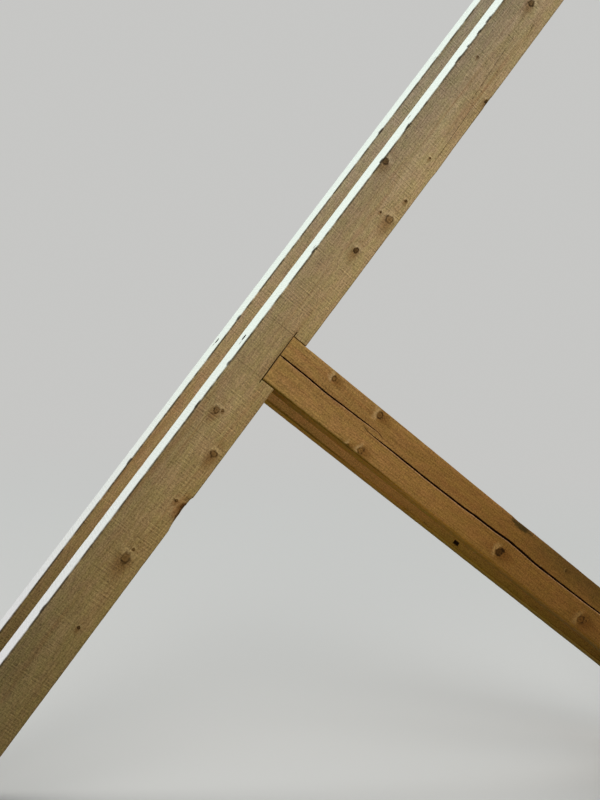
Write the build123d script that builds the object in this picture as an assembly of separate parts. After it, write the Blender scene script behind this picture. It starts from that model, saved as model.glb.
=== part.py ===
"""A doubled raking timber truss, made to stand as a buttress.

Two equal frames stand side by side. Each frame has an upright post, a raker that leans on the
post from the ground, and a strut between the raker and the foot of the post. All six timbers
are sawn softwood, and the faces of a frame's timbers lie flush.

Millimetres. +Z is up, +X points from the rakers' feet to the posts, and the two frames lie on
either side of Y = 0.
The origin is on the ground, in the middle of the truss's length and width.
"""

import os
from math import cos, radians, sin, tan

from build123d import *

# Timber sections: depth is measured in the plane of a frame, thickness across it.
frame_thick = 125.0     # thickness of post, raker and strut, which lie flush
post_depth = 175.0
raker_depth = 175.0
strut_depth = 175.0
arris = 4.0             # sawn edges knocked off

# Layout of one frame.
frame_gap = 275.0       # clear space between the two frames
post_height = 6000.0
raker_slope = 56.0      # degrees above level
raker_reach = 2850.0    # from the post's front to the raker's underside, on the ground
strut_height = 490.0    # from the ground to the strut's top edge, at the post's front

# Housed joints.
raker_housing = 55.0    # how deep the strut's head is let into the raker, square to it
post_housing = 60.0     # how deep the strut's foot is let into the post, level
fit_gap = 0.3           # clearance between a timber and its seat

# Housing for a level cross timber, let in where raker and post meet.
cross_thick = 125.0
cross_height = 175.0
cross_proud = 66.0      # how far it stands out in front of the post
cross_drop = 115.0      # from the raker's top edge at the post down to its top
cross_gap = 1.5         # clearance round it

# Worked out from the sizes above.
slope = radians(raker_slope)
strut_slope = 90.0 - raker_slope                        # the strut is square to the raker
raker_rise = tan(slope)                                 # height gained for each level unit
strut_rise = tan(radians(strut_slope))
raker_length_level = raker_depth / sin(slope)           # the raker's depth, measured level
raker_depth_plumb = raker_depth / cos(slope)            # the raker's depth, measured plumb

truss_length = raker_reach + raker_length_level + post_depth
post_front = truss_length / 2 - post_depth              # X of the posts' front faces
raker_foot = post_front - raker_reach                   # X of the raker's underside on the ground
head_height = raker_reach * raker_rise + raker_depth_plumb   # raker's top edge at the post

# The strut's top edge leaves the post's front and meets the raker's underside here.
strut_run = (raker_reach * raker_rise - strut_height) / (raker_rise + strut_rise)
strut_head = (post_front - strut_run, strut_height + strut_run * strut_rise)
strut_length = strut_run / cos(radians(strut_slope))

frame_centre = (frame_gap + frame_thick) / 2            # Y of each frame's middle plane
across = 2 * frame_thick                                # width of a tool that cuts right across
beyond = 4 * max(post_depth, raker_depth, strut_depth)  # how far a tool or a blank runs on


def sawn_bar(length, depth, up):
    """A bar along X with its sawn edges knocked off; up says which side of X it lies."""
    bar = Box(length, frame_thick, depth, align=(Align.MIN, Align.CENTER, up))
    return chamfer(bar.edges().filter_by(Axis.X), arris)


def block(length, depth, up):
    """A plain block along X that cuts right across a timber."""
    return Box(length, across, depth, align=(Align.MIN, Align.CENTER, up))


def in_front_of(x):
    """Everything on the ground's side of a plumb plane at x."""
    reach = truss_length + beyond
    tool = Box(reach, across, 2 * post_height, align=(Align.MAX, Align.CENTER, Align.CENTER))
    return Pos(x, 0, 0) * tool


def along_strut(x):
    """A place on the strut's top edge, at x from the raker's underside, turned with the strut."""
    return Location((strut_head[0], 0, strut_head[1]), (0, strut_slope, 0)) * Pos(x, 0, 0)


def cross_space():
    """The space that the cross timber fills where it is let into a frame."""
    tool = Box(cross_thick + 2 * cross_gap, across, cross_height + 2 * cross_gap,
               align=(Align.MIN, Align.CENTER, Align.MAX))
    return Pos(post_front - cross_proud - cross_gap, 0, head_height - cross_drop + cross_gap) * tool


def strut_space(start, end):
    """The space that the strut needs between two places along its top edge."""
    tool = block(end - start, strut_depth + 2 * fit_gap, Align.MAX)
    return along_strut(start) * (Pos(0, 0, fit_gap) * tool)


def make_strut():
    """Square at the head, where it bears in the raker, and plumb at the foot, in the post."""
    start = fit_gap - raker_housing
    bar = along_strut(start) * sawn_bar(strut_length - start + beyond, strut_depth, Align.MAX)
    return bar & in_front_of(post_front + post_housing - fit_gap)


def make_raker():
    """Level at the foot, plumb at the head, with the strut's housing in its underside."""
    length = (head_height / sin(slope)) + 2 * beyond
    place = Location((raker_foot, 0, 0), (0, -raker_slope, 0)) * Pos(-beyond, 0, 0)
    bar = place * sawn_bar(length, raker_depth, Align.MIN)
    ground = Box(4 * truss_length, across, beyond * 2,
                 align=(Align.CENTER, Align.CENTER, Align.MAX))
    bar = bar - ground
    bar = bar & in_front_of(post_front - fit_gap)
    bar = bar - strut_space(-raker_housing, beyond)
    return bar - cross_space()


def make_post():
    """Square at both ends, with housings for the strut's foot and the cross timber in its front."""
    post = Box(post_depth, frame_thick, post_height, align=(Align.MIN, Align.CENTER, Align.MIN))
    post = Pos(post_front, 0, 0) * chamfer(post.edges().filter_by(Axis.Z), arris)
    foot = strut_space(0, strut_length + beyond) & in_front_of(post_front + post_housing)
    return post - foot - cross_space()


def main():
    os.makedirs("parts", exist_ok=True)
    for kind, timber in (("post", make_post()), ("raker", make_raker()), ("strut", make_strut())):
        for side, y in (("near", -frame_centre), ("far", frame_centre)):
            piece = Pos(0, y, 0) * timber
            export_step(piece, f"parts/{kind}_{side}.step")


main()
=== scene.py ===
import math
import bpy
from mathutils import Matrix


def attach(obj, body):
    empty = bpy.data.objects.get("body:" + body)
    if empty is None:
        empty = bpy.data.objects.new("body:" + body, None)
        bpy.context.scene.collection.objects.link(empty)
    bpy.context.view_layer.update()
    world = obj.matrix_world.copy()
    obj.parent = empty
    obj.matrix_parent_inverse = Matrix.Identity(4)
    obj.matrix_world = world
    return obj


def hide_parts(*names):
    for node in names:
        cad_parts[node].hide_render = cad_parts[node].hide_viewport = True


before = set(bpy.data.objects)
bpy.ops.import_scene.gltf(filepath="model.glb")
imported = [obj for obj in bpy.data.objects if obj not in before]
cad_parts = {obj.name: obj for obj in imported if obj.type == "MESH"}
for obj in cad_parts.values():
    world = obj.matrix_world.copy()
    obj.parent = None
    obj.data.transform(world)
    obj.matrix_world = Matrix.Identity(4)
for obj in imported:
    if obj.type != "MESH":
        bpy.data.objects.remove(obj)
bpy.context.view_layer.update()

from types import SimpleNamespace

import bmesh
import bpy
from mathutils import Matrix, Vector, noise

# The two posts stand plumb on the ground: sawn fir, 125 x 175 mm and 6 m long, square at both
# ends. Their fronts are housed for the struts' feet and, higher up, for a level cross timber.
thick, depth = 0.125, 0.175             # section of every timber
near_y, far_y = -thick / 2, thick / 2   # its faces, in its own axes
under_z, top_z = -depth / 2, depth / 2
side_gap = 0.4                          # from the middle of one frame to the middle of the other
post_height = 6.0
raker_degrees = 56                      # the rakers' slope above level
slope = math.radians(raker_degrees)
reach = 2.85                            # from the post's front to the raker's foot, on the ground
rise = math.tan(slope)
truss_length = reach + depth / math.sin(slope) + depth
post_front = truss_length / 2 - depth
head_height = reach * rise + depth / math.cos(slope)
strut_top = 0.490                       # height of the strut's top edge at the post's front
post_housing = 0.060
joint_gap = 0.0015                      # what the carpenter left open round a strut
cross_deep = 0.0605                     # the housing for the cross timber, into the post
cross_drop, cross_end = 0.1135, 0.2915  # its top and bottom, from the raker's top edge at the post
cross_in = post_front + cross_deep
cross_top, cross_bottom = head_height - cross_drop, head_height - cross_end
strut_run = (reach * rise - strut_top) / (rise + 1 / rise)
strut_head = Vector((post_front - strut_run, 0, strut_top + strut_run / rise))


def colour(red, green, blue):
    """A colour as the eye reads it, 0 to 255, turned into the linear one a shader wants."""
    def linear(c):
        c /= 255
        return c / 12.92 if c <= 0.04045 else ((c + 0.055) / 1.055) ** 2.4
    return (linear(red), linear(green), linear(blue), 1)


def lie(origin, turn, side):
    """Where a timber lies: X runs along it, Y through its thickness, Z through its depth."""
    return (Matrix.Translation((origin[0], side * side_gap / 2, origin[2]))
            @ Matrix.Rotation(math.radians(turn), 4, "Y"))


def sawn_prism(outline, place):
    """A timber drawn out from its side outline to its thickness, then laid along its own axes."""
    middle = place.translation.y
    bm = bmesh.new()
    face = bm.faces.new([bm.verts.new((x, middle + near_y, z)) for x, z in outline])
    drawn = bmesh.ops.extrude_face_region(bm, geom=[face], use_keep_orig=True)["geom"]
    bmesh.ops.translate(bm, verts=[v for v in drawn if isinstance(v, bmesh.types.BMVert)],
                        vec=(0, thick, 0))
    bmesh.ops.recalc_face_normals(bm, faces=bm.faces)
    bmesh.ops.transform(bm, matrix=place.inverted(), verts=bm.verts)
    return bm


def knock_off_edges(bm, arris=0.004, cut_edge=0.0011):
    """The long arrises are rounded first, then every edge that a saw cut has left is eased."""
    for wanted, width, steps in ((True, arris, 3), (False, cut_edge, 2)):
        edges = []
        for e in bm.edges:
            run = (e.verts[1].co - e.verts[0].co).normalized()
            long_edge = abs(run.x) > 0.999 and all(
                abs(abs(v.co.y) - far_y) < 1e-4 and abs(abs(v.co.z) - top_z) < 1e-4
                for v in e.verts)
            sharp = e.calc_face_angle_signed(0) > math.radians(40)
            if sharp and long_edge == wanted:
                edges.append(e)
        bmesh.ops.bevel(bm, geom=edges, offset=width, offset_type="OFFSET", segments=steps,
                        profile=0.5, affect="EDGES", material=-1, clamp_overlap=True)


def sawn_timber(outline, place):
    """A timber with its edges knocked off, and the stations along it where its corners were."""
    bm = sawn_prism(outline, place)
    corners = {round(v.co.x, 4) for v in bm.verts}
    knock_off_edges(bm)
    return bm, corners


def slice_through(bm, planes):
    """Cuts every face that a plane crosses; a plane is a point and its direction."""
    for point, normal in planes:
        bmesh.ops.bisect_plane(bm, geom=bm.verts[:] + bm.edges[:] + bm.faces[:], dist=1e-6,
                               plane_co=point, plane_no=normal)


def cut_rows(bm, spacing, clear_of, rows=(), bites=()):
    """Cuts across the timber at even stations and along it at named rows, so that it can be worn."""
    low = min(v.co.x for v in bm.verts)
    high = max(v.co.x for v in bm.verts)
    count = int((high - low) / spacing)
    stations = [low + (i + 0.5) * (high - low) / count for i in range(count)]
    stations += [x + step * length / 4 for _, _, x, length, _, _ in bites for step in (-2, -1, 0, 1, 2)]
    beside_arris = (0.0055, 0.010, 0.018)
    planes = [((x, 0, 0), (1, 0, 0)) for x in stations if all(abs(x - c) > 0.003 for c in clear_of)]
    planes += [((0, s * (far_y - a), 0), (0, 1, 0)) for s in (-1, 1) for a in beside_arris]
    planes += [((0, 0, s * (top_z - a)), (0, 0, 1)) for s in (-1, 1) for a in (*beside_arris, 0.04)]
    slice_through(bm, planes + [((0, 0, z), (0, 0, 1)) for z in rows])


def ripple(x, scale, seed):
    """Even noise between -1 and 1 that runs along a timber."""
    return noise.noise(Vector((x * scale, seed * 7.31, seed * 3.17)))


def nearness(co, zone):
    """One on an arris, less and less on the faces beside it, nothing a zone away from it."""
    return max(0, 1 - (far_y - abs(co.y)) / zone) * max(0, 1 - (top_z - abs(co.z)) / zone)


def wear_arrises(bm, seed, bites):
    """The arrises are never quite straight: shallow wear all along, deeper where a splinter left.

    A splinter has its arris (side, top), its middle and length, and its bite across and down.
    """
    least, most = 0.0004, 0.0012
    for v in bm.verts:
        x, y, z = v.co
        side, top = (1 if y > 0 else -1), (1 if z > 0 else -1)
        own = seed + side * 1.7 + top * 0.6
        worn = least + most * max(0, ripple(x, 5, own)) + most * max(0, ripple(x, 38, own + 2))
        across = down = worn * nearness(v.co, 0.010)
        for b_side, b_top, middle, length, b_across, b_down in bites:
            if (side, top) == (b_side, b_top):
                peak = 0.8 * math.sin(middle * 40)  # a splinter starts steeply and runs out gently
                along = 2 * (x - middle) / length
                left = max(0, 1 - abs(along - peak) / (1 + peak if along < peak else 1 - peak))
                left = left ** 0.7 * (0.8 + 0.5 * ripple(x, 90, own + 4))
                left *= nearness(v.co, 0.002 + 1.6 * max(b_across, b_down))
                across += b_across * left
                down += b_down * left
        v.co.y += 0.0005 * ripple(x, 2.1, seed) * (1 if abs(y) > 0.03 else 0) - side * across
        v.co.z += 0.0006 * ripple(x, 1.6, seed + 5) - top * down


def new_object(name, data):
    """An object with a mesh, a lamp or a camera, put in the scene."""
    made = bpy.data.objects.new(name, data)
    bpy.context.scene.collection.objects.link(made)
    return made


def finish_timber(bm, name, place, replaced):
    """Puts the worn timber in its place as a piece that stands for its CAD node."""
    bmesh.ops.transform(bm, matrix=place, verts=bm.verts)
    for v in bm.verts:
        v.co.z = max(v.co.z, 0)
    bmesh.ops.recalc_face_normals(bm, faces=bm.faces)
    mesh = bpy.data.meshes.new(name)
    bm.to_mesh(mesh)
    bm.free()
    mesh.shade_smooth()
    mesh.set_sharp_from_angle(angle=math.radians(38))
    piece = new_object(name, mesh)
    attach(piece, "root")
    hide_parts(replaced)
    return piece


def add(tree, kind, sockets=None, **settings):
    """Adds a node; a socket's value is a number, a vector, or another node's output."""
    made = tree.nodes.new(kind)
    for key, value in settings.items():
        setattr(made, key, value)
    for key, value in (sockets or {}).items():
        if isinstance(value, bpy.types.NodeSocket):
            tree.links.new(value, made.inputs[key])
        else:
            made.inputs[key].default_value = value
    return made


def sums(tree, operation, a, b=0.0, c=0.0, clamp=False):
    """One step of arithmetic."""
    return add(tree, "ShaderNodeMath", {0: a, 1: b, 2: c}, operation=operation, use_clamp=clamp).outputs[0]


def times(tree, *factors):
    """Several values multiplied."""
    product = factors[0]
    for factor in factors[1:]:
        product = sums(tree, "MULTIPLY", product, factor)
    return product


def turned(tree, operation, a, b=(0, 0, 0), out=0):
    """One step of vector arithmetic."""
    return add(tree, "ShaderNodeVectorMath", {0: a, 1: b}, operation=operation).outputs[out]


def axes_of(tree, vector):
    """A vector's three numbers."""
    return add(tree, "ShaderNodeSeparateXYZ", {0: vector}).outputs


def soft_step(tree, value, start, end, low=0.0, high=1.0):
    """Goes smoothly from low to high as the value goes from start to end."""
    return add(tree, "ShaderNodeMapRange", {0: value, 1: start, 2: end, 3: low, 4: high},
               interpolation_type="SMOOTHSTEP").outputs[0]


def grained(tree, vector, stretch, detail=2.0, rough=0.5):
    """Noise whose cells are stretched along the timber."""
    scaled = turned(tree, "MULTIPLY", vector, stretch)
    return add(tree, "ShaderNodeTexNoise", {"Vector": scaled, "Scale": 1.0, "Detail": detail,
                                            "Roughness": rough}).outputs[0]


def line_noise(tree, place, detail):
    """Noise along one number."""
    return add(tree, "ShaderNodeTexNoise", {"W": place, "Scale": 1.0, "Detail": detail},
               noise_dimensions="1D").outputs[0]


def blend(tree, factor, a, b, kind="MIX"):
    """Mixes two colours."""
    return add(tree, "ShaderNodeMix", {0: factor, 6: a, 7: b}, data_type="RGBA", blend_type=kind).outputs[2]


def new_group(name, vectors, numbers, outputs):
    """An empty node group with named inputs and outputs; returns it and the two ends."""
    group = bpy.data.node_groups.new(name, "ShaderNodeTree")
    for end, kind, labels in (("INPUT", "Vector", vectors), ("INPUT", "Float", numbers),
                              ("OUTPUT", "Float", outputs)):
        for label in labels:
            group.interface.new_socket(label, in_out=end, socket_type="NodeSocket" + kind)
    return group, group.nodes.new("NodeGroupInput").outputs, group.nodes.new("NodeGroupOutput")


def knot_group():
    """A branch in the log is a cone from the heart to the skin; each hands the nearest one on."""
    g, given, result = new_group(
        "knot", ["Vector", "Root", "Way"], ["Own Size", "Own Dark", "Ratio", "Lean", "Dark", "Bulge"],
        ["Ratio", "Lean", "Dark", "Bulge"])
    from_root = turned(g, "SUBTRACT", given["Vector"], given["Root"])
    out = turned(g, "DOT_PRODUCT", from_root, given["Way"], 1)
    on_axis = add(g, "ShaderNodeVectorMath", {0: given["Way"], "Scale": out}, operation="SCALE").outputs[0]
    beside = turned(g, "SUBTRACT", from_root, on_axis)
    aside = turned(g, "LENGTH", turned(g, "MULTIPLY", beside, (0.82, 1, 1)), out=1)
    size = times(g, given["Own Size"], soft_step(g, out, 0.0, 0.05, 0.05, 1.0))
    ratio = sums(g, "DIVIDE", aside, size)
    lean = sums(g, "DIVIDE", axes_of(g, beside)[0], size)
    nearer = sums(g, "LESS_THAN", ratio, given["Ratio"])
    for name, value in (("Ratio", ratio), ("Lean", lean), ("Dark", given["Own Dark"])):
        chosen = add(g, "ShaderNodeMix", {0: nearer, 2: given[name], 3: value}).outputs[0]
        g.links.new(chosen, result.inputs[name])
    bulge = times(g, soft_step(g, ratio, 4.5, 0.0), given["Own Size"])
    g.links.new(sums(g, "MULTIPLY_ADD", bulge, 0.9, given["Bulge"]), result.inputs["Bulge"])
    return g


def knot_look_group():
    """A knot's dark rim, its paler middle, and, on either side of it, the brown smear and pale wood with a
    painted glint.
    """
    g, given, result = new_group(
        "knot_look", ["Vector"], ["Ratio", "Lean", "Dark"], ["Core", "Dead", "Rim", "Halo", "Pale"])
    uneven = grained(g, given["Vector"], (55, 85, 85), 2, 0.5)
    blotch = grained(g, turned(g, "ADD", given["Vector"], (3, 7, 5)), (90, 150, 150), 2, 0.6)
    ratio = times(g, given["Ratio"], sums(g, "MULTIPLY_ADD", uneven, 1.1, 0.45))
    core = soft_step(g, ratio, 1.05, 0.7)
    year_lines = sums(g, "MULTIPLY_ADD", sums(g, "SINE", times(g, ratio, 21.0)), 0.14, 0.86)
    middle = soft_step(g, ratio, 0.3, 0.1, 0.0, 0.5)
    dead = sums(g, "MAXIMUM", times(g, core, soft_step(g, given["Dark"], 0.6, 1.0)), middle)
    edge = sums(g, "ABSOLUTE", sums(g, "SUBTRACT", ratio, 0.86))
    rim = times(g, soft_step(g, edge, 0.42, 0.10), soft_step(g, blotch, 0.34, 0.58, 0.3, 1.0),
                sums(g, "MULTIPLY_ADD", given["Dark"], 0.3, 0.7),
                soft_step(g, given["Lean"], 1.2, -0.4, 0.6, 1.0))
    bend = sums(g, "MULTIPLY", given["Lean"], given["Lean"])
    tail = sums(g, "SQRT", sums(g, "MULTIPLY_ADD", bend, -0.55, times(g, given["Ratio"], given["Ratio"])))
    halo = times(g, soft_step(g, tail, 2.9, 0.5), soft_step(g, given["Lean"], 1.6, -1.6, 0.45, 1.0))
    # Pale wood beside the knot, partly a painted glint.
    pale_side = times(g, soft_step(g, ratio, 2.8, 1.3), soft_step(g, ratio, 0.85, 1.2),
                      soft_step(g, given["Lean"], 0.1, 1.2))
    core = times(g, core, year_lines)
    for name, value in (("Core", core), ("Dead", dead), ("Rim", rim), ("Halo", halo), ("Pale", pale_side)):
        g.links.new(value, result.inputs[name])
    return g


def ring_group():
    """Yearly rings round the heart, cut through by the saw: pale early wood, dark late wood."""
    g, given, result = new_group(
        "growth_rings", ["Vector", "Heart"], ["Seed", "Ring Width", "Bulge"], ["Late Wood", "Rays"])
    slowly = sums(g, "MULTIPLY", axes_of(g, given["Vector"])[0], 0.6)
    path = add(g, "ShaderNodeCombineXYZ", {0: slowly, 1: given["Seed"]}).outputs[0]
    drift = add(g, "ShaderNodeTexNoise", {"Vector": path, "Scale": 1.0, "Detail": 1.0}).outputs["Color"]
    drift = turned(g, "MULTIPLY", turned(g, "SUBTRACT", drift, (0.5, 0.5, 0.5)), (0, 0.06, 0.06))
    from_heart = turned(g, "ADD", turned(g, "SUBTRACT", given["Vector"], given["Heart"]), drift)
    radius = turned(g, "LENGTH", turned(g, "MULTIPLY", from_heart, (0, 1, 1)), out=1)
    uneven = grained(g, given["Vector"], (2.4, 22, 22), 2)
    fine = grained(g, given["Vector"], (14, 160, 160), 1)
    radius = sums(g, "MULTIPLY_ADD", uneven, 0.006, radius)
    radius = sums(g, "MULTIPLY_ADD", fine, 0.0012, radius)
    radius = sums(g, "ADD", radius, given["Bulge"])
    years = sums(g, "DIVIDE", radius, given["Ring Width"])
    slow = line_noise(g, sums(g, "MULTIPLY_ADD", years, 0.13, given["Seed"]), 1.0)
    years = sums(g, "MULTIPLY_ADD", slow, 3.0, years)
    part = sums(g, "FRACT", years)
    late = times(g, soft_step(g, part, 0.3, 0.86), soft_step(g, part, 1.0, 0.92))
    each = add(g, "ShaderNodeTexWhiteNoise", {"W": sums(g, "FLOOR", years)}, noise_dimensions="1D").outputs[0]
    g.links.new(times(g, late, sums(g, "MULTIPLY_ADD", each, 0.7, 0.45)), result.inputs["Late Wood"])
    parts = axes_of(g, from_heart)
    angle = sums(g, "ARCTAN2", parts[2], parts[1])
    spokes = line_noise(g, sums(g, "MULTIPLY_ADD", angle, 3.1, given["Seed"]), 3.0)
    fine_spokes = soft_step(g, sums(g, "ABSOLUTE", sums(g, "SUBTRACT", spokes, 0.5)), 0.012, 0.002)
    g.links.new(times(g, fine_spokes, soft_step(g, radius, 0.006, 0.03)), result.inputs["Rays"])
    return g


def saw_group():
    """A band saw leaves a fine ridge every centimetre or so, square across the timber, and torn fibre."""
    g, given, result = new_group("saw_marks", ["Vector"], ["Seed"], ["Cross", "Weave", "Fuzz"])
    short_wave, long_wave = 0.0104, 0.0154
    sway = grained(g, given["Vector"], (9, 4, 4), 1)
    x = sums(g, "MULTIPLY_ADD", sway, 0.006, axes_of(g, given["Vector"])[0])
    first = sums(g, "SINE", times(g, x, 2 * math.pi / short_wave))
    second = sums(g, "SINE", times(g, x, 2 * math.pi / long_wave))
    lines = line_noise(g, sums(g, "MULTIPLY_ADD", x, 230, given["Seed"]), 3.0)
    lines = sums(g, "MULTIPLY_ADD", lines, 4.4, -2.2)
    patch = soft_step(g, grained(g, given["Vector"], (4, 12, 12), 1), 0.3, 0.62, 0.3, 1.0)
    both = sums(g, "MULTIPLY_ADD", second, 0.3, times(g, first, 0.35))
    dashes = soft_step(g, grained(g, given["Vector"], (40, 60, 60), 2, 0.6), 0.3, 0.65, 0.25, 1.3)
    cross = times(g, sums(g, "ADD", lines, both), patch, dashes)
    threads = grained(g, given["Vector"], (30, 230, 230), 2, 0.6)
    cells = grained(g, given["Vector"], (170, 210, 210), 2, 0.65)
    weave = sums(g, "ADD", sums(g, "MULTIPLY_ADD", threads, 2.4, -1.2),
                 sums(g, "MULTIPLY_ADD", cells, 5.2, -2.6))
    fuzz = grained(g, given["Vector"], (300, 420, 420), 3, 0.75)
    g.links.new(cross, result.inputs["Cross"])
    g.links.new(weave, result.inputs["Weave"])
    g.links.new(sums(g, "MULTIPLY_ADD", fuzz, 4.0, -2.0), result.inputs["Fuzz"])
    return g


def hairline_group():
    """Fine drying cracks that follow the grain and come and go."""
    g, given, result = new_group("hairlines", ["Vector"], ["Seed", "Amount"], ["Line"])
    moved = turned(g, "ADD", given["Vector"], add(g, "ShaderNodeCombineXYZ", {0: given["Seed"]}).outputs[0])
    field = grained(g, moved, (1.6, 34, 34), 2)
    line = soft_step(g, sums(g, "ABSOLUTE", sums(g, "SUBTRACT", field, 0.5)), 0.006, 0.0)
    where = soft_step(g, grained(g, moved, (2.3, 9, 9), 1), sums(g, "SUBTRACT", 0.74, given["Amount"]),
                      sums(g, "SUBTRACT", 0.84, given["Amount"]))
    g.links.new(sums(g, "MULTIPLY", line, where), result.inputs["Line"])
    return g


knots, knot_looks, rings, saw_marks, hairlines = (
    knot_group(), knot_look_group(), ring_group(), saw_group(), hairline_group())


def grouped(tree, group, sockets):
    """Puts a shared group into a material with this timber's own values."""
    return add(tree, "ShaderNodeGroup", sockets, node_tree=group).outputs


def start_fir(name, place, seed, branches, early, late, along, heart, ring_width, cracks, crown=1):
    """Sawn fir for one timber, laid out in its own axes; stains can follow.

    The heart is where the log's middle runs (Y, Z), and the crown end lies at high or low X.
    """
    material = bpy.data.materials.new(name)
    material.use_nodes = True
    tree = material.node_tree
    tree.nodes.clear()
    here = add(tree, "ShaderNodeTexCoord").outputs["Object"]
    own = add(tree, "ShaderNodeMapping", {"Vector": here, "Location": place.translation,
                                          "Rotation": place.to_euler()}, vector_type="TEXTURE").outputs[0]
    axis = axes_of(tree, own)
    heart = Vector((0, *heart))
    nearest = {"Ratio": 99.0, "Lean": 0.0, "Dark": 0.0, "Bulge": 0.0}
    for x, y, z, size, dark in branches:
        way = Vector((0, y - heart.y, z - heart.z))
        root = Vector((x - crown * 0.12 * way.length, heart.y, heart.z))
        way = (Vector((x, y, z)) - root).normalized()
        out = grouped(tree, knots, {"Vector": own, "Root": root, "Way": way, "Own Size": size,
                                    "Own Dark": dark, **nearest})
        nearest = {key: out[key] for key in nearest}
    lean = nearest["Lean"] if crown > 0 else times(tree, nearest["Lean"], -1.0)
    knot = grouped(tree, knot_looks, {"Vector": own, "Ratio": nearest["Ratio"], "Lean": lean,
                                      "Dark": nearest["Dark"]})
    ring = grouped(tree, rings, {"Vector": own, "Heart": heart, "Seed": seed, "Ring Width": ring_width,
                                  "Bulge": nearest["Bulge"]})
    saw = grouped(tree, saw_marks, {"Vector": own, "Seed": seed})
    crack = grouped(tree, hairlines, {"Vector": own, "Seed": seed, "Amount": cracks})["Line"]
    facing = turned(tree, "DOT_PRODUCT", add(tree, "ShaderNodeNewGeometry").outputs["True Normal"],
                    place.to_3x3() @ Vector((1, 0, 0)), 1)
    cut_end = soft_step(tree, sums(tree, "ABSOLUTE", facing), 0.3, 0.5)
    streak = grained(tree, own, (7, 420, 420), 3)
    patch = grained(tree, own, (1.3, 11, 11), 2)
    ring_amount = soft_step(tree, cut_end, 0.0, 1.0, 0.42, 0.8)
    tone = blend(tree, times(tree, ring["Late Wood"], ring_amount), early, late)
    tone = blend(tree, soft_step(tree, streak, 0.35, 0.75, 0.0, 0.25), tone, late)
    tone = blend(tree, soft_step(tree, patch, 0.4, 0.75, 0.0, 0.3), tone, late)
    reddish = soft_step(tree, grained(tree, own, (1.1, 30, 30), 3, 0.6), 0.52, 0.75, 0.0, 0.5)
    tone = blend(tree, reddish, tone, blend(tree, 0.55, late, colour(172, 118, 78)))
    mottle = soft_step(tree, grained(tree, own, (14, 32, 32), 3, 0.6), 0.34, 0.66)
    mottle = blend(tree, mottle, (0.975, 1.015, 0.93, 1), (1.025, 0.98, 1.03, 1))
    tone = blend(tree, 1.0, tone, mottle, "MULTIPLY")
    resin = blend(tree, 0.5, late, colour(132, 84, 38))
    tone = blend(tree, times(tree, knot["Halo"], 0.75), tone, resin)
    # Pale wood beside each knot, partly a painted glint.
    tone = blend(tree, times(tree, knot["Pale"], 0.65), tone, blend(tree, 0.5, early, colour(238, 214, 168)))
    tone = blend(tree, times(tree, knot["Core"], 0.55), tone, colour(136, 102, 54))
    tone = blend(tree, times(tree, knot["Dead"], 0.8), tone, colour(84, 60, 30))
    tone = blend(tree, times(tree, knot["Rim"], 0.9), tone, colour(54, 36, 14))
    tone = blend(tree, times(tree, crack, 0.8), tone, colour(66, 44, 26))
    tone = blend(tree, times(tree, cut_end, ring["Rays"], 0.8), tone, colour(58, 40, 24))
    tone = blend(tree, times(tree, cut_end, 0.42), tone, colour(112, 84, 54))
    # The darkening along the timber: on the rakers painted shade, on the struts partly painted shade.
    tone = blend(tree, 1.0, tone, tone_along(tree, axis[0], along), "MULTIPLY")
    return SimpleNamespace(
        material=material, tree=tree, own=own, x=axis[0], y=axis[1], z=axis[2], tone=tone,
        saw=saw, crack=crack, streak=streak, cut_end=cut_end, bleached_and_sunlit=0.0)


def tone_along(tree, x, stops):
    """How the wood darkens along a timber: a few (x, red, green, blue) shares of its full colour. Along the
    rakers this is painted shade, and along the struts it is partly painted shade.
    """
    length = stops[-1][0]
    made = add(tree, "ShaderNodeValToRGB", {0: sums(tree, "DIVIDE", x, length, clamp=True)})
    made.color_ramp.interpolation = "B_SPLINE"
    elements = made.color_ramp.elements
    while len(elements) < len(stops):
        elements.new(0.5)
    for element, (at, red, green, blue) in zip(elements, stops):
        element.position, element.color = at / length, (red, green, blue, 1)
    return made.outputs[0]


def greys(w, value):
    """A grey of a given level, to multiply a colour by."""
    return add(w.tree, "ShaderNodeCombineColor", {0: value, 1: value, 2: value}).outputs[0]


def finish_fir(w, cross=0.15, weave=0.28):
    """Saw marks, torn fibre, relief and sheen come last, over every stain."""
    tree = w.tree
    # The saw marks fade on the near-white tops, which carry painted sunlight.
    quiet = sums(tree, "MULTIPLY_ADD", w.bleached_and_sunlit, -0.78, 1.0)
    marks = sums(tree, "MULTIPLY_ADD", w.saw["Weave"], weave, times(tree, w.saw["Cross"], cross))
    marks = sums(tree, "MULTIPLY_ADD", w.saw["Fuzz"], 0.20, marks)
    marks = times(tree, marks, quiet, soft_step(tree, w.cut_end, 0.0, 1.0, 1.0, 0.3))
    tone = blend(tree, 1.0, w.tone, greys(w, sums(tree, "ADD", marks, 1.0)), "MULTIPLY")
    height = sums(tree, "MULTIPLY_ADD", w.saw["Weave"], 0.35, times(tree, w.saw["Cross"], 0.5))
    height = sums(tree, "MULTIPLY_ADD", w.saw["Fuzz"], 0.25, height)
    height = sums(tree, "MULTIPLY_ADD", w.crack, -3.0, height)
    relief = add(tree, "ShaderNodeBump", {"Height": height, "Strength": 0.5, "Distance": 0.0007}).outputs[0]
    rough = sums(tree, "MULTIPLY_ADD", w.streak, 0.2, 0.75)
    surface = add(tree, "ShaderNodeBsdfPrincipled", {"Base Color": tone, "Roughness": rough, "Normal": relief,
                                                     "Specular IOR Level": 0.1})
    add(tree, "ShaderNodeOutputMaterial", {"Surface": surface.outputs[0]})
    return w.material


def strut_line(x, below):
    """Height of a line along the strut, a distance below its top edge measured square to it."""
    return strut_head.z - (x - strut_head.x) / rise - below / math.sin(slope)


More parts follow.
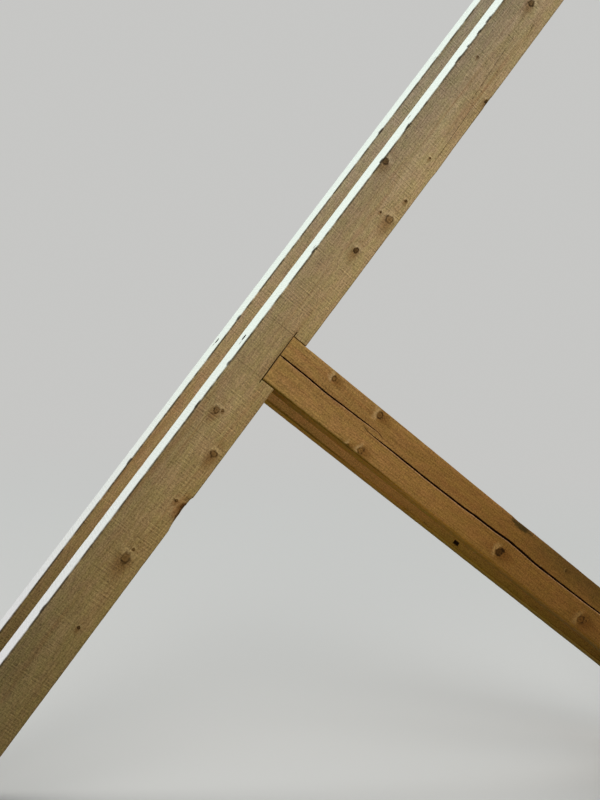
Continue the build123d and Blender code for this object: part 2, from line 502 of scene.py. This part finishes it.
seat = post_front + post_housing
post_outline = [
    (post_front, 0), (post_front + depth, 0), (post_front + depth, post_height), (post_front, post_height),
    (post_front, cross_top), (cross_in, cross_top), (cross_in, cross_bottom), (post_front, cross_bottom),
    (post_front, strut_line(post_front, -joint_gap)), (seat, strut_line(seat, -joint_gap)),
    (seat, strut_line(seat, depth + joint_gap)), (post_front, strut_line(post_front, depth + joint_gap))]
post_early, post_late = colour(196, 158, 108), colour(150, 106, 60)
post_along = [(0, 0.72, 0.68, 0.6), (0.9, 1, 1, 1), (6.0, 1, 1, 1)]
# Each knot has its place on a face, its radius, and how dark it is, from 0 to 1.
post_knots = {
    "near": [
        (0.62, near_y, 0.020, 0.010, 0.5), (1.18, near_y, -0.045, 0.006, 0.8),
        (1.21, 0.01, top_z, 0.009, 0.4), (1.75, near_y, 0.050, 0.008, 0.7),
        (2.32, near_y, -0.012, 0.012, 0.3), (2.35, far_y, 0.02, 0.010, 0.5),
        (2.95, near_y, 0.032, 0.007, 0.8), (3.41, 0.02, under_z, 0.011, 0.4),
        (3.62, near_y, -0.05, 0.009, 0.7), (4.85, near_y, 0.015, 0.010, 0.4),
        (4.88, -0.01, top_z, 0.008, 0.6), (5.47, near_y, -0.035, 0.008, 0.5)],
    "far": [
        (0.48, far_y, -0.030, 0.009, 0.6), (0.95, near_y, 0.035, 0.008, 0.5),
        (1.52, far_y, 0.012, 0.012, 0.4), (1.55, 0.0, top_z, 0.008, 0.5), (2.18, near_y, -0.02, 0.010, 0.5),
        (2.84, far_y, 0.045, 0.007, 0.7), (3.36, near_y, 0.04, 0.009, 0.4), (3.9, far_y, -0.04, 0.010, 0.6),
        (4.98, far_y, 0.02, 0.011, 0.4), (5.02, 0.01, under_z, 0.009, 0.5), (5.6, near_y, 0.03, 0.008, 0.7)]}
for kind, side, seed in (("near", -1, 3.0), ("far", 1, 4.4)):
    place = lie((post_front + depth / 2, 0, 0), -90, side)
    bm, corners = sawn_timber(post_outline, place)
    cut_rows(bm, 0.024, corners)
    wear_arrises(bm, seed, [(side, 1, 2.6, 0.05, 0.003, 0.003), (-side, 1, 3.4, 0.08, 0.004, 0.002),
                            (side, -1, 1.1, 0.06, 0.003, 0.004)])
    post = finish_timber(bm, "sawn_post_" + kind, place, "post_" + kind)
    fir = start_fir("fir_post_" + kind, place, seed, post_knots[kind], post_early, post_late, post_along,
                    heart=(0.018 * side, -0.022), ring_width=0.0041, cracks=0.10)
    post.data.materials.append(finish_fir(fir))

# The two rakers of the same sawn fir lean on the posts from the ground, level at the foot and plumb at
# the head. They are housed for the cross timber and for the strut, which one long screw holds, sunk in
# a bored hole in the raker's top. Their tops are near white: partly bleached by the sun, partly a
# painted highlight of full sunlight.
raker_foot = post_front - reach
along_raker = Vector((math.cos(slope), 0, math.sin(slope)))
off_raker = Vector((-math.sin(slope), 0, math.cos(slope)))
bearing_gap = 0.0003                    # between a timber's end and what it bears on
cross_reach = 0.0675                    # the housing for the cross timber, into the raker
cross_out = post_front - cross_reach
raker_housing = 0.055
seat_wave = 0.0012                      # the seat for the strut isn't quite flat
kerf, kerf_low, kerf_high = 0.0034, 0.012, 0.017    # the saw ran on past both corners of the housing
head = post_front - bearing_gap
head_low = (head - raker_foot) * rise
housed = off_raker * raker_housing
notch_low = strut_head - along_raker * (depth + joint_gap)
notch_high = strut_head + along_raker * joint_gap
slit_low = notch_low + housed - off_raker * kerf
slit_high = notch_high + housed - off_raker * kerf
seat_middle = strut_head - along_raker * 0.6 * depth + off_raker * (raker_housing + seat_wave)
notch = [
    notch_low, slit_low, slit_low - along_raker * kerf_low, notch_low + housed - along_raker * kerf_low,
    seat_middle, notch_high + housed + along_raker * kerf_high, slit_high + along_raker * kerf_high,
    slit_high, notch_high]
raker_outline = [(raker_foot, 0)] + [(p.x, p.z) for p in notch] + [
    (head, head_low), (head, cross_bottom), (cross_out, cross_bottom), (cross_out, cross_top),
    (head, cross_top), (head, head_low + depth / math.cos(slope)),
    (raker_foot - depth / math.sin(slope), 0)]
raker_wood = {
    "near": (colour(204, 182, 140), colour(157, 130, 89)),
    "far": (colour(218, 195, 156), colour(168, 140, 100))}
# Painted shade along each raker: darker towards the foot and towards the upper end, as (x, red, green, blue)
# shares.
raker_shade_along = {
    "near": [
        (0, 0.36, 0.34, 0.275), (0.75, 0.49, 0.485, 0.41), (1.0, 0.70, 0.66, 0.56), (1.3, 0.71, 0.66, 0.55),
        (2.2, 1, 0.97, 0.97), (3.3, 0.74, 0.79, 0.93), (5.2, 0.82, 0.84, 0.9)],
    "far": [
        (0, 0.15, 0.14, 0.08), (0.9, 0.62, 0.55, 0.38), (1.35, 1, 0.88, 0.68), (1.9, 1, 0.95, 0.86),
        (2.4, 0.95, 0.97, 0.98), (3.4, 0.70, 0.80, 0.98), (5.2, 0.8, 0.85, 0.92)]}
raker_knots = {
    "near": [
        (0.33, near_y, 0.02, 0.009, 0.4), (0.862, near_y, -0.0405, 0.0045, 1.0),
        (1.116, near_y, -0.026, 0.015, 0.25), (1.152, near_y, -0.031, 0.004, 0.7),
        (1.352, near_y, -0.048, 0.0045, 0.8), (1.352, near_y, -0.084, 0.008, 0.5),
        (1.539, near_y, -0.0535, 0.0105, 0.7), (1.657, near_y, 0.025, 0.0095, 0.66),
        (1.667, near_y, 0.007, 0.0045, 0.7), (2.357, near_y, -0.028, 0.0090, 1.0),
        (2.513, near_y, -0.0165, 0.0035, 1.0), (2.512, near_y, -0.055, 0.012, 0.5),
        (2.600, near_y, -0.0635, 0.0045, 1.0), (2.655, near_y, 0.0755, 0.010, 0.9),
        (2.770, near_y, -0.0415, 0.003, 1.0), (3.060, near_y, -0.0845, 0.007, 1.0),
        (3.155, near_y, 0.037, 0.003, 0.9), (3.435, near_y, 0.0, 0.010, 0.8),
        (3.98, near_y, -0.03, 0.010, 0.5), (4.52, near_y, 0.03, 0.009, 0.6),
        (5.05, near_y, -0.01, 0.011, 0.4)],
    "far": [
        (0.41, near_y, 0.03, 0.009, 0.6), (0.78, far_y, -0.02, 0.010, 0.5), (1.26, far_y, 0.03, 0.008, 0.7),
        (1.31, near_y, 0.01, 0.009, 0.4), (2.05, far_y, -0.045, 0.011, 0.4),
        (2.62, far_y, 0.02, 0.010, 0.6), (3.275, -0.045, top_z, 0.004, 1.0),
        (3.33, far_y, -0.01, 0.012, 0.3), (3.142, -0.058, top_z, 0.004, 1.0),
        (3.9, near_y, 0.02, 0.010, 0.6), (4.1, far_y, 0.035, 0.009, 0.5), (4.75, far_y, -0.03, 0.010, 0.6)]}
raker_bites = {
    "near": [
        (-1, 1, 0.85, 0.05, 0.006, 0.004), (-1, 1, 1.632, 0.045, 0.008, 0.005),
        (-1, 1, 1.80, 0.03, 0.006, 0.004), (-1, 1, 2.262, 0.03, 0.007, 0.004),
        (-1, 1, 2.65, 0.03, 0.006, 0.004), (-1, 1, 2.80, 0.045, 0.007, 0.004),
        (-1, 1, 3.102, 0.045, 0.008, 0.005), (-1, 1, 3.16, 0.02, 0.005, 0.003),
        (-1, 1, 3.225, 0.035, 0.007, 0.004), (-1, 1, 3.285, 0.05, 0.008, 0.004),
        (-1, -1, 1.325, 0.13, 0.014, 0.014), (-1, -1, 3.06, 0.05, 0.003, 0.005),
        (1, 1, 1.1, 0.05, 0.004, 0.004), (1, 1, 2.5, 0.05, 0.004, 0.004), (1, -1, 3.6, 0.07, 0.006, 0.004)],
    "far": [
        (-1, 1, 1.35, 0.05, 0.004, 0.004), (-1, 1, 2.0, 0.04, 0.003, 0.004),
        (-1, 1, 2.9, 0.05, 0.004, 0.003), (1, 1, 0.8, 0.05, 0.004, 0.005), (1, 1, 2.35, 0.05, 0.005, 0.004),
        (1, -1, 1.9, 0.08, 0.006, 0.004)]}


def between(points, x):
    """Reads a given curve of (x, value) points."""
    if x <= points[0][0]:
        return points[0][1]
    for (x0, a), (x1, b) in zip(points, points[1:]):
        if x <= x1:
            return a + (b - a) * (x - x0) / (x1 - x0)
    return points[-1][1]


def check_rows(checks, half):
    """The rows that drying checks need in a timber's face, none of them between another check's lips.

    A check has the row that sinks in, its path as (x, z), and how far it opens as (x, share).
    """
    rows = [row + s * a for row, path, opening in checks for s, a in
            ((0, 0), (-1, half), (1, half), (-1, half + 0.004), (1, half + 0.004), (-1, 0.013), (1, 0.013))]
    return [z for z in rows if all(z == row or abs(z - row) > half - 1e-5 for row, path, opening in checks)]


def open_checks(bm, checks, half, deep):
    """Drying checks in the near face: a row's middle sinks in, and its two lips follow the path."""
    dark, bright = bm.verts.layers.float.new("split"), bm.verts.layers.float.new("lower_lip")
    for v in bm.verts:
        if v.co.y > near_y + 0.003:
            continue
        x, z = v.co.x, v.co.z
        moved = z
        for row, path, opening in checks:
            opened = min(1, 4 * between(opening, x))
            line = between(path, x) + 0.0005 * ripple(x, 24, row * 90)
            moved += (line - row) * max(0, 1 - max(0, abs(z - row) - 0.012) / 0.03) * opened
        for row, path, opening in checks:
            gape = between(opening, x)
            aside = z - row
            if gape <= 0 or abs(aside) > half + 1e-5:
                continue
            line = between(path, x) + 0.0005 * ripple(x, 24, row * 90)
            lip = 0
            if abs(aside) >= 1e-5:
                lip = math.copysign(half * gape * (1 + 0.25 * ripple(x, 40, row)), aside)
            moved += (line + lip - moved) * min(1, 4 * gape)
            if lip == 0:
                v.co.y += deep * gape
                v[dark] = min(1, 3 * gape)
            # The lower lip is marked for a painted highlight.
            elif lip < 0:
                v[bright] = min(1, gape)
        v.co.z = moved


def on_near_face(w, worn=0.0):
    """One on the near face, and nothing on the others. A worn arris lies further in."""
    return soft_step(w.tree, w.y, near_y + 0.003 + worn, near_y + 0.0012 + worn)


def on_top_face(w):
    """One on the top face, and nothing on the others."""
    return soft_step(w.tree, w.z, top_z - 0.003, top_z - 0.001)


def stroke(w, start, end, width, broken):
    """A drawn or cracked line on the near face, from one (x, z) to another, that comes and goes."""
    tree = w.tree
    flat = turned(tree, "MULTIPLY", w.own, (1, 0, 1))
    first = Vector((start[0], 0, start[1]))
    run = Vector((end[0] - start[0], 0, end[1] - start[1]))
    passed = turned(tree, "DOT_PRODUCT", turned(tree, "SUBTRACT", flat, first), run, 1)
    share = sums(tree, "MULTIPLY", passed, 1 / run.length_squared, clamp=True)
    both = add(tree, "ShaderNodeCombineXYZ", {0: share, 2: share}).outputs[0]
    nearest = add(tree, "ShaderNodeVectorMath", {0: both, 1: run, 2: first}, operation="MULTIPLY_ADD")
    away = turned(tree, "DISTANCE", flat, nearest.outputs[0], 1)
    coming = soft_step(tree, grained(tree, w.own, (60, 60, 60), 2), 0.3, 0.6, 1 - broken, 1.0)
    return times(tree, soft_step(tree, away, width, width * 0.35), coming, on_near_face(w))


def fleck(w, x, aside, long, wide, top=False, worn=0.0):
    """A torn or stained spot, or a painted shadow, on the near face or on the top one."""
    tree = w.tree
    other = w.y if top else w.z
    a = sums(tree, "DIVIDE", sums(tree, "SUBTRACT", w.x, x), long)
    b = sums(tree, "DIVIDE", sums(tree, "SUBTRACT", other, aside), wide)
    away = sums(tree, "SQRT", sums(tree, "ADD", sums(tree, "MULTIPLY", a, a), sums(tree, "MULTIPLY", b, b)))
    ragged = sums(tree, "MULTIPLY_ADD", grained(tree, w.own, (70, 220, 220), 3, 0.65), 1.6, away)
    return times(tree, soft_step(tree, ragged, 2.0, 1.3), on_top_face(w) if top else on_near_face(w, worn))


def bore_top(bm, x, y, radius, deep, sides=16):
    """A round hole bored square into the top face, its rim a little worn, for one long screw."""
    dark = bm.verts.layers.float["split"]
    mouth = [f for f in bm.faces if f.normal.z > 0.9 and abs(f.calc_center_median().x - x) < 2 * radius
             and abs(f.calc_center_median().y - y) < 2 * radius]
    for step in sorted(range(sides), key=lambda step: step % 4):
        angle = 2 * math.pi * step / sides
        outward = Vector((math.cos(angle), math.sin(angle), 0))
        rim = Vector((x, y, 0)) + outward * radius
        around = [e for f in mouth for e in f.edges] + [v for f in mouth for v in f.verts]
        around = list(dict.fromkeys(around))
        cut = bmesh.ops.bisect_plane(bm, geom=mouth + around, dist=1e-6, plane_co=rim, plane_no=outward)
        mouth = [f for f in cut["geom"] if isinstance(f, bmesh.types.BMFace)
                 and (f.calc_center_median() - rim).dot(outward) < 0]
    worn_rim = (0.0005, 0.0006)
    for inward, down in (worn_rim, (0.0001, deep)):
        bmesh.ops.inset_region(bm, faces=mouth, thickness=inward, depth=-down, use_even_offset=True)
        for v in {v for f in mouth for v in f.verts}:
            v[dark] = 1


def paint_bleach_and_sunlight(w, pale):
    """The face that looks up is near white: partly bleached by sun and rain, partly a painted highlight of
    full sunlight.
    """
    wander = sums(w.tree, "MULTIPLY_ADD", grained(w.tree, w.own, (24, 60, 60), 2), 0.003, w.z)
    w.bleached_and_sunlit = soft_step(w.tree, wander, top_z - 0.0045, top_z - 0.0005)
    w.bleached_and_sunlit = times(w.tree, w.bleached_and_sunlit, sums(w.tree, "MULTIPLY_ADD", w.streak, 0.12, 0.9), 0.95)
    w.tone = blend(w.tree, w.bleached_and_sunlit, w.tone, pale)


def stain(w, mask, tone, share=1.0):
    """Lays a share of a colour over the wood where the mask says."""
    amount = mask if share == 1 else times(w.tree, mask, share)
    w.tone = blend(w.tree, amount, w.tone, tone)


def tint(w, mask, shares):
    """Multiplies the wood's colour where the mask says."""
    w.tone = blend(w.tree, mask, w.tone, shares, "MULTIPLY")


def mesh_value(w, name):
    """What the mesh itself says of a point, such as that it lies deep in a crack."""
    return add(w.tree, "ShaderNodeAttribute", attribute_name=name, attribute_type="GEOMETRY").outputs["Fac"]


def darken_splits(w):
    """No light reaches the bottom of a drying check or of a hole."""
    stain(w, soft_step(w.tree, mesh_value(w, "split"), 0.02, 0.3), colour(44, 28, 14), 0.9)


screw_holes = {"near": (1.902, -0.0135), "far": (1.893, -0.001)}
top_flecks = {
    "near": [(1.881, -0.020, 0.009, 0.006), (2.28, -0.0415, 0.010, 0.005), (2.86, 0.0115, 0.012, 0.005)],
    "far": [(1.875, 0.0095, 0.009, 0.006), (3.275, -0.045, 0.010, 0.005)]}
bark, pencil, torn_chip_and_shadow = colour(66, 48, 30), colour(78, 64, 46), colour(92, 76, 48)
# Painted shadows: a thin line under the top arris, and the splinters' bites along it.
arris_shadow, chip_shadow = colour(74, 64, 44), colour(52, 42, 28)
wane, wane_edge = colour(158, 100, 52), colour(84, 54, 28)
# Near-white tops: sun-bleached wood with a painted highlight of full sunlight.
low_bleach_and_sunlight, high_bleach_and_sunlight = colour(226, 227, 231), colour(236, 248, 243)
raker_check_half = 0.0008               # half of what a check opens
raker_checks = [(-0.0575, [(2.72, -0.0625), (2.82, -0.0600), (2.90, -0.0565), (3.05, -0.0525)],
                 [(2.72, 0), (2.78, 0.8), (2.86, 1), (2.98, 0.8), (3.05, 0)])]
for kind, side, seed in (("near", -1, 7.0), ("far", 1, 8.6)):
    place = lie(Vector((raker_foot, 0, 0)) + off_raker * depth / 2, -raker_degrees, side)
    bm, corners = sawn_timber(raker_outline, place)
    checks = raker_checks if kind == "near" else []
    cut_rows(bm, 0.014, corners, check_rows(checks, raker_check_half), raker_bites[kind])
    open_checks(bm, checks, raker_check_half, deep=0.005)
    bore_top(bm, *screw_holes[kind], radius=0.012, deep=0.016)
    wear_arrises(bm, seed, raker_bites[kind])
    raker = finish_timber(bm, "sawn_raker_" + kind, place, "raker_" + kind)
    fir = start_fir("fir_raker_" + kind, place, seed, raker_knots[kind], *raker_wood[kind],
                    raker_shade_along[kind], heart=(0.02, -0.012), ring_width=0.0044, cracks=0.04)
    tree = fir.tree
    lower_part = times(tree, soft_step(tree, fir.z, 0.03, under_z), 0.7)
    tint(fir, lower_part, (1.0, 0.95, 0.80, 1))
    tint(fir, soft_step(tree, fir.z, 0.01, 0.075), (0.92, 0.945, 0.99, 1))
    if kind == "near":
        # Painted light and shade: from x 2.2 on, the near face is lighter towards its lower edge and darker
        # towards its upper one.
        across = soft_step(tree, fir.z, -0.08, 0.08)
        across = blend(tree, across, (1.13, 1.12, 1.12, 1), (0.87, 0.86, 0.87, 1))
        tint(fir, soft_step(tree, fir.x, 2.2, 2.9), across)
        for x, broken, share in ((2.0025, 0.5, 0.6), (1.8275, 0.8, 0.5)):
            stain(fir, stroke(fir, (x, -0.030), (x, 0.084), 0.0017, broken), pencil, share)
        stain(fir, stroke(fir, (3.03, -0.0355), (3.30, -0.0205), 0.0022, 0.8), bark, 0.6)
        stain(fir, fleck(fir, 1.345, -0.066, 0.050, 0.016, worn=0.010), wane, 0.35)
        stain(fir, fleck(fir, 1.330, -0.0795, 0.044, 0.0042, worn=0.017), wane_edge, 0.8)
    # The tops: sun-bleached, with painted sunlight over them.
    ways = add(tree, "ShaderNodeMapRange", {0: fir.x, 1: 0.7, 2: 1.9}).outputs[0]
    paint_bleach_and_sunlight(fir, blend(tree, ways, low_bleach_and_sunlight, high_bleach_and_sunlight))
    # Painted shadow: a thin dark line just under the top arris.
    under_arris = times(tree, soft_step(tree, fir.z, top_z - 0.0095, top_z - 0.0055),
                        soft_step(tree, fir.z, top_z - 0.001, top_z - 0.003), 0.85,
                        soft_step(tree, grained(tree, fir.own, (14, 3, 3), 3, 0.6), 0.3, 0.56))
    stain(fir, under_arris, arris_shadow)
    # Torn chips on the top faces, dark partly with painted shadow.
    for x, y, long, wide in top_flecks[kind]:
        stain(fir, fleck(fir, x, y, long, wide, top=True), torn_chip_and_shadow, 0.8)
    # Painted shadow below the near top arris, where each splinter has bitten in.
    for b_side, b_top, x, long, across, down in raker_bites[kind]:
        if (b_side, b_top) == (-1, 1):
            stain(fir, fleck(fir, x, top_z - 0.0035, long * 0.4, 0.004, worn=0.009), chip_shadow, 0.85)
    darken_splits(fir)
    raker.data.materials.append(finish_fir(fir, cross=0.18, weave=0.31))

# The two struts run from the rakers' undersides down to the posts, let into both. They are browner fir,
# square at the head and plumb at the foot; the near one has long drying checks in its near face.
strut_outline = []
for below, end in ((depth, "head"), (depth, "foot"), (0, "foot"), (0, "head")):
    if end == "foot":
        x = seat - bearing_gap
        strut_outline.append((x, strut_line(x, below)))
    else:
        open_seat = 0.0016 + 0.0024 * below / depth     # the seat opens towards its lower corner
        corner = strut_head - along_raker * below + off_raker * (raker_housing - open_seat)
        strut_outline.append((corner.x, corner.z))
strut_early, strut_late = colour(187, 149, 94), colour(143, 107, 58)
# Darker and browner towards the foot: partly the wood's own colour, partly painted shade.
strut_tone_and_shade_along = [(0, 1, 1, 1), (0.7, 0.87, 0.74, 0.54), (1.3, 0.59, 0.48, 0.31), (2.1, 0.52, 0.43, 0.28)]
strut_knots = {
    "near": [
        (0.140, near_y, 0.0635, 0.0075, 0.5), (0.347, near_y, 0.066, 0.0095, 0.7),
        (0.364, near_y, -0.069, 0.0085, 0.55), (1.012, near_y, -0.045, 0.0125, 1.0),
        (1.447, near_y, -0.053, 0.013, 0.35), (1.4675, near_y, -0.0475, 0.005, 0.6),
        (1.19, near_y, 0.005, 0.004, 0.7), (1.28, near_y, 0.055, 0.004, 0.6),
        (0.7, 0.02, top_z, 0.010, 0.5), (0.315, near_y, -0.0865, 0.006, 0.2),
        (0.72, far_y, 0.01, 0.010, 0.6), (1.62, far_y, -0.02, 0.011, 0.4)],
    "far": [
        (0.3, far_y, 0.03, 0.010, 0.6), (0.85, far_y, -0.03, 0.011, 0.4), (0.88, 0.0, top_z, 0.008, 0.6),
        (1.4, far_y, 0.02, 0.009, 0.5), (1.75, near_y, -0.03, 0.010, 0.6)]}
underside_along = {
    "near": [
        (0, 0.72, 0.66, 0.26), (0.2, 0.75, 0.70, 0.32), (0.5, 1, 1, 0.85), (1.1, 0.88, 0.94, 0.66),
        (2.1, 0.80, 0.88, 0.55)],
    "far": [
        (0, 1, 1, 0.9), (2.1, 0.9, 1, 0.8)]}
olive_shade, dark_olive_patch, worn_edge = colour(104, 86, 24), colour(82, 70, 34), colour(60, 50, 22)
# Painted highlight along the lower lip of a check.
check_lip_highlight = colour(222, 172, 132)
strut_check_half = 0.0037
strut_checks = [
    (0.013, [(x, top_z - d) for x, d in (
        (-0.056, 0.076), (0.05, 0.076), (0.15, 0.078), (0.25, 0.075), (0.30, 0.074), (0.39, 0.071),
        (0.42, 0.070))],
     [(-0.056, 0.35), (-0.04, 0.8), (0.10, 0.9), (0.25, 0.8), (0.33, 0.6), (0.41, 0)]),
    (0.0025, [(x, top_z - d) for x, d in (
        (0.32, 0.0925), (0.50, 0.0915), (0.65, 0.0915), (0.80, 0.0885), (0.86, 0.085), (0.95, 0.0835),
        (1.025, 0.079), (1.10, 0.081), (1.15, 0.084), (1.195, 0.084), (1.30, 0.082), (1.40, 0.080),
        (1.49, 0.0775), (1.95, 0.074))],
     [(0.32, 0), (0.38, 0.5), (0.46, 0.9), (0.75, 1.05), (1.0, 1.3), (1.15, 1.25), (1.35, 1.0),
      (1.6, 0.8), (1.95, 0)])]


def dead_knot_hole(bm, x, z, long, wide, deep):
    """A small squarish hole in the near face, where a dead knot fell out."""
    slice_through(bm, [((x - long / 2, 0, 0), (1, 0, 0)), ((x + long / 2, 0, 0), (1, 0, 0)),
                       ((0, 0, z - wide / 2), (0, 0, 1)), ((0, 0, z + wide / 2), (0, 0, 1))])
    mouth = []
    for face in bm.faces:
        middle = face.calc_center_median()
        if face.normal.y < -0.9 and abs(middle.x - x) < long / 2 and abs(middle.z - z) < wide / 2:
            mouth.append(face)
    bmesh.ops.inset_region(bm, faces=mouth, thickness=0.0012, depth=-deep, use_even_offset=True)
    dark = bm.verts.layers.float["split"]
    for v in {v for face in mouth for v in face.verts}:
        v[dark] = 1


for kind, side, seed in (("near", -1, 11.0), ("far", 1, 12.2)):
    place = lie(strut_head - along_raker * depth / 2, 90 - raker_degrees, side)
    bm, corners = sawn_timber(strut_outline, place)
    checks = strut_checks if kind == "near" else []
    cut_rows(bm, 0.012, corners, check_rows(checks, strut_check_half))
    open_checks(bm, checks, strut_check_half, deep=0.015)
    if kind == "far":
        dead_knot_hole(bm, x=1.07, z=-0.0675, long=0.027, wide=0.017, deep=0.014)
    wear_arrises(bm, seed, [(side, 1, 0.9, 0.05, 0.003, 0.003), (-1, 1, 1.03, 0.10, 0.003, 0.007)])
    strut = finish_timber(bm, "sawn_strut_" + kind, place, "strut_" + kind)
    fir = start_fir("fir_strut_" + kind, place, seed, strut_knots[kind], strut_early, strut_late,
                    strut_tone_and_shade_along, heart=(0.012, 0.006), ring_width=0.0046, cracks=0.12, crown=-1)
    tree = fir.tree
    # The underside is tinted: yellower and olive in patches, darker in parts along it, and lighter in a strip
    # beside the near face from x 0.4 on.
    underneath = soft_step(tree, fir.z, under_z + 0.004, under_z + 0.001)
    patches = soft_step(tree, grained(tree, fir.own, (9, 30, 30), 3, 0.6), 0.38, 0.62)
    underside_tint = blend(tree, patches, (1.14, 1.10, 0.62, 1), (1.02, 1.22, 0.56, 1))
    underside_tint = blend(tree, 1.0, underside_tint, tone_along(tree, fir.x, underside_along[kind]), "MULTIPLY")
    inward = sums(tree, "SUBTRACT", fir.y, near_y)
    lighter_strip = times(tree, soft_step(tree, fir.x, 0.40, 0.70), soft_step(tree, inward, 0.07, 0.02))
    underside_tint = blend(tree, lighter_strip, underside_tint, (1.48, 1.64, 1.35, 1))
    tint(fir, underneath, underside_tint)
    if kind == "far":
        green_part = times(tree, soft_step(tree, fir.x, 0.75, 1.1), soft_step(tree, fir.z, 0.0, under_z))
        tint(fir, green_part, (0.93, 1.10, 0.82, 1))
    # Painted shade: a dark olive band along the near lower arris, towards the head, where the underside lies
    # in shadow.
    shaded_arris_band = times(tree, soft_step(tree, inward, 0.014, 0.008), soft_step(tree, fir.x, 0.60, 0.35),
                  soft_step(tree, fir.z, under_z + 0.008, under_z + 0.003))
    stain(fir, times(tree, shaded_arris_band, soft_step(tree, patches, 0, 1, 0.8, 0.5)), olive_shade)
    if kind == "near":
        # Darker olive over the upper half of the near face, from x 1.0 on.
        upper_half = times(tree, soft_step(tree, fir.x, 1.0, 1.25), soft_step(tree, fir.z, 0.0, 0.07))
        stain(fir, upper_half, dark_olive_patch, 0.45)
        stain(fir, fleck(fir, 1.03, top_z - 0.012, 0.056, 0.013, worn=0.012), worn_edge, 0.85)
    # Painted highlight on the lower lip of each check.
    stain(fir, soft_step(tree, mesh_value(fir, "lower_lip"), 0.1, 0.8), check_lip_highlight, 0.6)
    darken_splits(fir)
    strut.data.materials.append(finish_fir(fir, cross=0.08, weave=0.31))

# A plain pale floor that runs into the same pale ground behind, soft even daylight from above and
# behind on the left, a weaker soft lamp in front, and the photograph's viewpoint.
pale = colour(206, 206, 204)
dim_ground = colour(128, 110, 58)       # what the floor sends back up to the timbers
backdrop_level = 0.92                   # as bright as the lit floor far from the lamps
bm = bmesh.new()
bmesh.ops.create_circle(bm, cap_ends=True, segments=96, radius=60)
floor_mesh = bpy.data.meshes.new("floor")
bm.to_mesh(floor_mesh)
bm.free()
floor = new_object("floor", floor_mesh)
floor_paint = bpy.data.materials.new("pale_floor")
floor_paint.use_nodes = True
tree = floor_paint.node_tree
tree.nodes.clear()


def seen_directly(tree):
    """One where the camera, a reflection or glass looks at a surface, and nothing for its bounced light."""
    ray = add(tree, "ShaderNodeLightPath").outputs
    direct = sums(tree, "ADD", ray["Is Camera Ray"], ray["Is Glossy Ray"], clamp=True)
    return sums(tree, "ADD", direct, ray["Is Transmission Ray"], clamp=True)


far_off = turned(tree, "LENGTH", add(tree, "ShaderNodeTexCoord").outputs["Object"], out=1)
lit = add(tree, "ShaderNodeBsdfDiffuse", {"Color": pale}).outputs[0]
glow = add(tree, "ShaderNodeEmission", {"Color": pale, "Strength": backdrop_level}).outputs[0]
shown = add(tree, "ShaderNodeMixShader", {0: soft_step(tree, far_off, 4, 14), 1: lit, 2: glow}).outputs[0]
bounce = add(tree, "ShaderNodeBsdfDiffuse", {"Color": dim_ground}).outputs[0]
both = add(tree, "ShaderNodeMixShader", {0: seen_directly(tree), 1: bounce, 2: shown}).outputs[0]
add(tree, "ShaderNodeOutputMaterial", {"Surface": both})
floor_mesh.materials.append(floor_paint)

world = bpy.data.worlds.new("soft_daylight")
bpy.context.scene.world = world
world.use_nodes = True
tree = world.node_tree
tree.nodes.clear()
backdrop = add(tree, "ShaderNodeBackground", {"Color": pale, "Strength": backdrop_level}).outputs[0]
sky = add(tree, "ShaderNodeBackground", {"Color": (0.94, 0.98, 1, 1), "Strength": 0.62}).outputs[0]
both = add(tree, "ShaderNodeMixShader", {0: seen_directly(tree), 1: sky, 2: backdrop}).outputs[0]
add(tree, "ShaderNodeOutputWorld", {"Surface": both})

key_data = bpy.data.lights.new("soft_key", "SUN")
key_data.energy, key_data.angle = 1.34, math.radians(24)
key_data.color = (1, 0.98, 0.94)
key = new_object("soft_key", key_data)
key.rotation_euler = Vector((0.61, -0.295, -0.735)).to_track_quat("-Z", "Y").to_euler()
fill_data = bpy.data.lights.new("soft_fill", "AREA")
fill_data.shape, fill_data.size, fill_data.size_y = "RECTANGLE", 2.5, 2.5
fill_data.energy, fill_data.color = 66, (1, 0.97, 0.92)
fill = new_object("soft_fill", fill_data)
fill.location = (-1.2, -3.6, 5.0)
fill.rotation_euler = (Vector((0.1, 0, 2.0)) - fill.location).to_track_quat("-Z", "Y").to_euler()

focal_px, photo_height_px = 900, 800    # the photograph's focal length and long side
sensor = 36
camera_data = bpy.data.cameras.new("viewpoint")
camera_data.sensor_fit, camera_data.sensor_width = "AUTO", sensor
camera_data.lens = sensor * focal_px / photo_height_px
camera = new_object("viewpoint", camera_data)
heading, pitch, roll = math.radians(16.89), math.radians(-2.09), math.radians(3.77)
look = (Matrix.Rotation(-heading, 3, "Z") @ Matrix.Rotation(math.pi / 2 + pitch, 3, "X")
        @ Matrix.Rotation(roll, 3, "Z"))
camera.location = (-1.155, -3.084, 1.590)
camera.rotation_euler = look.to_euler()
bpy.context.scene.camera = camera
bpy.context.scene.view_settings.view_transform = "Standard"
